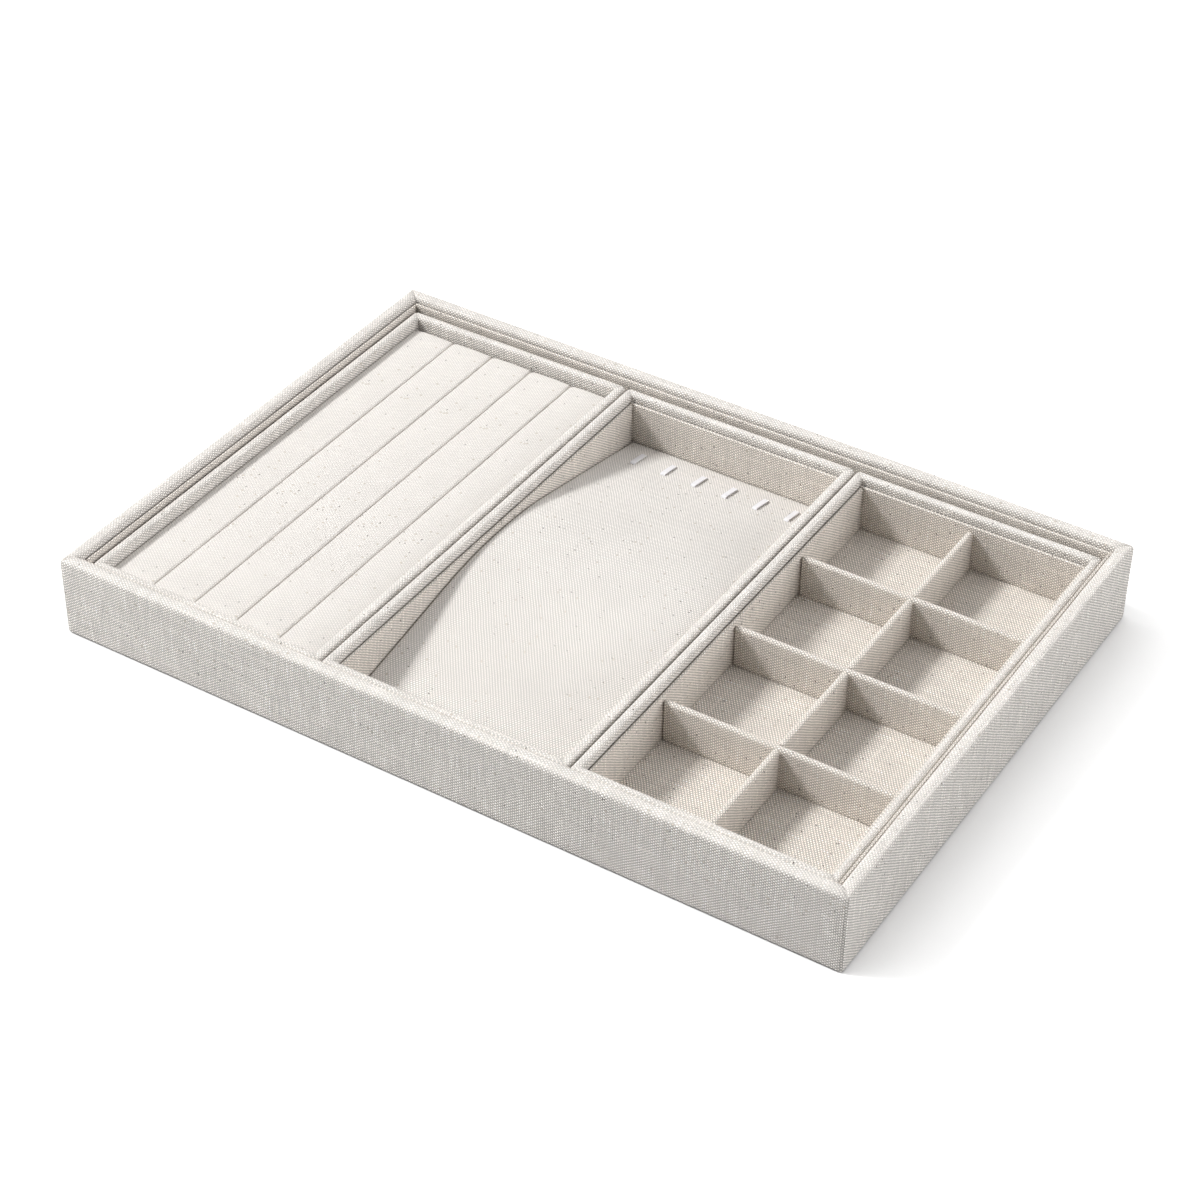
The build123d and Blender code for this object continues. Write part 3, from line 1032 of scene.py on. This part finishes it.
def loop_path(span):
    """The middle line of a tape loop as (along, height): up out of one slit, over and down into the other."""
    half = span / 2
    bend_foot = LOOP_RISE - LOOP_BEND
    leg_middle = (bend_foot - LOOP_LEG_DEPTH) / 2
    points = [(-half, -LOOP_LEG_DEPTH), (-half, leg_middle)]
    points += arc(LOOP_BEND - half, bend_foot, LOOP_BEND, 180, 90, LOOP_ROWS)
    points += line((LOOP_BEND - half, LOOP_RISE), (half - LOOP_BEND, LOOP_RISE), LOOP_ROWS)
    points += arc(half - LOOP_BEND, bend_foot, LOOP_BEND, 90, 0, LOOP_ROWS)
    points += [(half, leg_middle), (half, -LOOP_LEG_DEPTH)]
    return points


def make_loop(number, path, place):
    """One loop: a thin rounded section of tape swept along its path and set in its place."""
    skin = Skin()
    runs = lengths_along(path, False)
    section = rounded_section(
        half=LOOP_WIDTH / 2,
        bottom=-LOOP_TAPE / 2,
        top=LOOP_TAPE / 2,
        top_radius=LOOP_EDGE_RADIUS,
        bottom_radius=LOOP_EDGE_RADIUS,
        inset=0.0,
        side_rows=2,
        top_rows=4,
    )
    section_runs = lengths_along(section, True)
    for i, (along, height) in enumerate(path):
        before, after = path[max(i - 1, 0)], path[min(i + 1, len(path) - 1)]
        tilt = math.atan2(after[1] - before[1], after[0] - before[0])
        ring = []
        for across, up in section:
            point = Vector((across, along - up * math.sin(tilt), height + up * math.cos(tilt)))
            ring.append(tuple(place @ point))
        skin.extend_form(ring, [(runs[i], run) for run in section_runs], section)
    skin.end_form(section)
    return skin.piece(f"necklace_loop_tape_{number}", tape, "necklace_tray")


def build_loops():
    """Six low loops of white tape on the ramp's back slope, each turned a little its own way."""
    low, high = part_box("necklace_loops")
    ramp_low, ramp_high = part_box("necklace_ramp_cover")
    middle_y = (low.y + high.y) / 2
    before = ramp_height(middle_y - MM, ramp_low, ramp_high)
    after = ramp_height(middle_y + MM, ramp_low, ramp_high)
    slope = math.atan((before - after) / (2 * MM))
    pitch = (high.x - low.x - LOOP_WIDTH) / (LOOP_COUNT - 1)
    span = (high.y - low.y) / math.cos(slope) - 2 * LOOP_END_PLAY
    path = loop_path(span - LOOP_TAPE)
    top = ramp_height(middle_y, ramp_low, ramp_high)
    for index in range(LOOP_COUNT):
        stand = Matrix.Translation((low.x + LOOP_WIDTH / 2 + index * pitch, middle_y, top))
        turn = math.radians(LOOP_TURN * wave((index, 0, 0), LOOP_DRAW_LENGTH, LOOP_SEED))
        place = stand @ Matrix.Rotation(-slope, 4, "X") @ Matrix.Rotation(turn, 4, "Z")
        made = make_loop(index + 1, path, place)
        if index == 0:
            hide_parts("necklace_loops")


# Stage, light and camera

def floor_material():
    """White where it is seen: the tray's own shadow on a diffuse floor, plus white emission that fades near
    the tray as painted shade. A plain grey where it only sends light back.
    """
    n = Nodes("floor")
    path = n.tree.nodes.new("ShaderNodeLightPath")
    seen = n.math("MAXIMUM", path.outputs["Is Camera Ray"], path.outputs["Is Glossy Ray"])
    seen = n.math("MAXIMUM", seen, path.outputs["Is Transmission Ray"])
    lit = n.add("BsdfDiffuse", {"Color": grey(FLOOR_ALBEDO)})
    shade = n.add("BsdfDiffuse", {"Color": grey(FLOOR_SHADE)})
    # Painted shade: the emission fades with ambient occlusion round the tray's foot
    openness = n.add("AmbientOcclusion", {"Distance": FLOOR_PAINTED_SHADE_REACH}, output=1)
    strength = n.ramp(openness, *FLOOR_OPEN_RANGE, 0.0, FLOOR_GLOW, False)
    glow_with_painted_shade = n.add("Emission", {"Color": grey(1.0), "Strength": strength})
    shown = n.add("AddShader", {0: shade, 1: glow_with_painted_shade})
    return n.finish(n.add("MixShader", {0: seen, 1: lit, 2: shown}))


def build_stage():
    """A white floor that keeps the tray's shadow, with painted shade round its foot."""
    mesh = bpy.data.meshes.new("floor")
    reach = FLOOR_HALF_SIZE
    corners = [(-reach, -reach, 0), (reach, -reach, 0), (reach, reach, 0), (-reach, reach, 0)]
    mesh.from_pydata(corners, [], [(0, 1, 2, 3)])
    floor = bpy.data.objects.new("floor", mesh)
    bpy.context.scene.collection.objects.link(floor)
    mesh.materials.append(floor_material())


def build_world():
    """Even white light from all round, and plain white where the camera sees past the floor."""
    world = bpy.data.worlds.new("studio")
    bpy.context.scene.world = world
    world.use_nodes = True
    tree = world.node_tree
    tree.nodes.clear()
    path = tree.nodes.new("ShaderNodeLightPath")
    light = tree.nodes.new("ShaderNodeBackground")
    light.inputs["Color"].default_value = grey(1.0)
    light.inputs["Strength"].default_value = WORLD_LIGHT
    shown = tree.nodes.new("ShaderNodeBackground")
    shown.inputs["Color"].default_value = grey(1.0)
    shown.inputs["Strength"].default_value = 1.0
    mix = tree.nodes.new("ShaderNodeMixShader")
    output = tree.nodes.new("ShaderNodeOutputWorld")
    tree.links.new(path.outputs["Is Camera Ray"], mix.inputs[0])
    tree.links.new(light.outputs[0], mix.inputs[1])
    tree.links.new(shown.outputs[0], mix.inputs[2])
    tree.links.new(mix.outputs[0], output.inputs["Surface"])


def add_light(name, kind, towards, strength, distance=1.0, **settings):
    """A lamp that shines on the tray from a direction and isn't seen itself."""
    data = bpy.data.lights.new(name, kind)
    data.energy = strength
    for key, value in settings.items():
        setattr(data, key, value)
    lamp = bpy.data.objects.new(name, data)
    bpy.context.scene.collection.objects.link(lamp)
    direction = Vector(towards).normalized()
    lamp.location = direction * distance
    lamp.rotation_mode = "QUATERNION"
    lamp.rotation_quaternion = direction.to_track_quat("Z", "Y")
    lamp.visible_camera = False


def build_lights():
    """A key light from the upper left with a wide halo, a broad light overhead, and low fills."""
    add_light("key", "SUN", KEY_DIRECTION, strength=2.95, angle=math.radians(12))
    add_light("key_halo", "SUN", KEY_DIRECTION, strength=0.78, angle=math.radians(55))
    add_light("overhead", "SUN", (0.0, 0.05, 1.0), strength=0.62, angle=math.radians(60))
    add_light("fill_right", "SUN", (0.9, 0.29, 0.24), strength=2.42, angle=math.radians(64))
    disk = {"shape": "DISK", "size": 0.2}
    add_light("fill_back", "AREA", (0.55, 0.45, 0.15), strength=0.36, distance=0.73, **disk)
    add_light("fill_left", "AREA", (-0.55, -0.80, 0.16), strength=0.92, distance=0.7, **disk)


def build_camera():
    """A camera at the photograph's viewing angle, for a square picture."""
    azimuth = math.radians(CAMERA_AZIMUTH)
    elevation = math.radians(CAMERA_ELEVATION)
    roll = math.radians(CAMERA_ROLL)
    back = Vector((
        math.sin(azimuth) * math.cos(elevation),
        -math.cos(azimuth) * math.cos(elevation),
        math.sin(elevation),
    ))
    level_right = (-back).cross(Vector((0, 0, 1))).normalized()
    level_up = back.cross(level_right)
    right = math.cos(roll) * level_right - math.sin(roll) * level_up
    up = math.sin(roll) * level_right + math.cos(roll) * level_up
    data = bpy.data.cameras.new("camera")
    data.sensor_width = CAMERA_SENSOR
    data.lens = CAMERA_LENS
    data.clip_start, data.clip_end = CAMERA_CLIP
    camera = bpy.data.objects.new("camera", data)
    bpy.context.scene.collection.objects.link(camera)
    place = Vector(CAMERA_PLACE) * MM
    camera.matrix_world = Matrix((
        (right.x, up.x, back.x, place.x),
        (right.y, up.y, back.y, place.y),
        (right.z, up.z, back.z, place.z),
        (0, 0, 0, 1),
    ))
    bpy.context.scene.camera = camera


dress_cad_nodes()
build_wraps()
build_linings("outer_lining", "outer_tray", seed=11)
build_linings("necklace_lining", "necklace_tray", seed=15)
build_linings("compartment_lining", "compartment_tray", seed=19)
build_floor_lining("outer_floor_lining", "outer_tray", seed=31)
build_floor_lining("compartment_tray_floor_lining", "compartment_tray", seed=32)
build_dividers()
for roll_number in range(1, ROLL_COUNT + 1):
    build_roll(roll_number)
build_ramp()
build_loops()
build_stage()
build_world()
build_lights()
build_camera()

bpy.context.scene.view_settings.view_transform = "Standard"
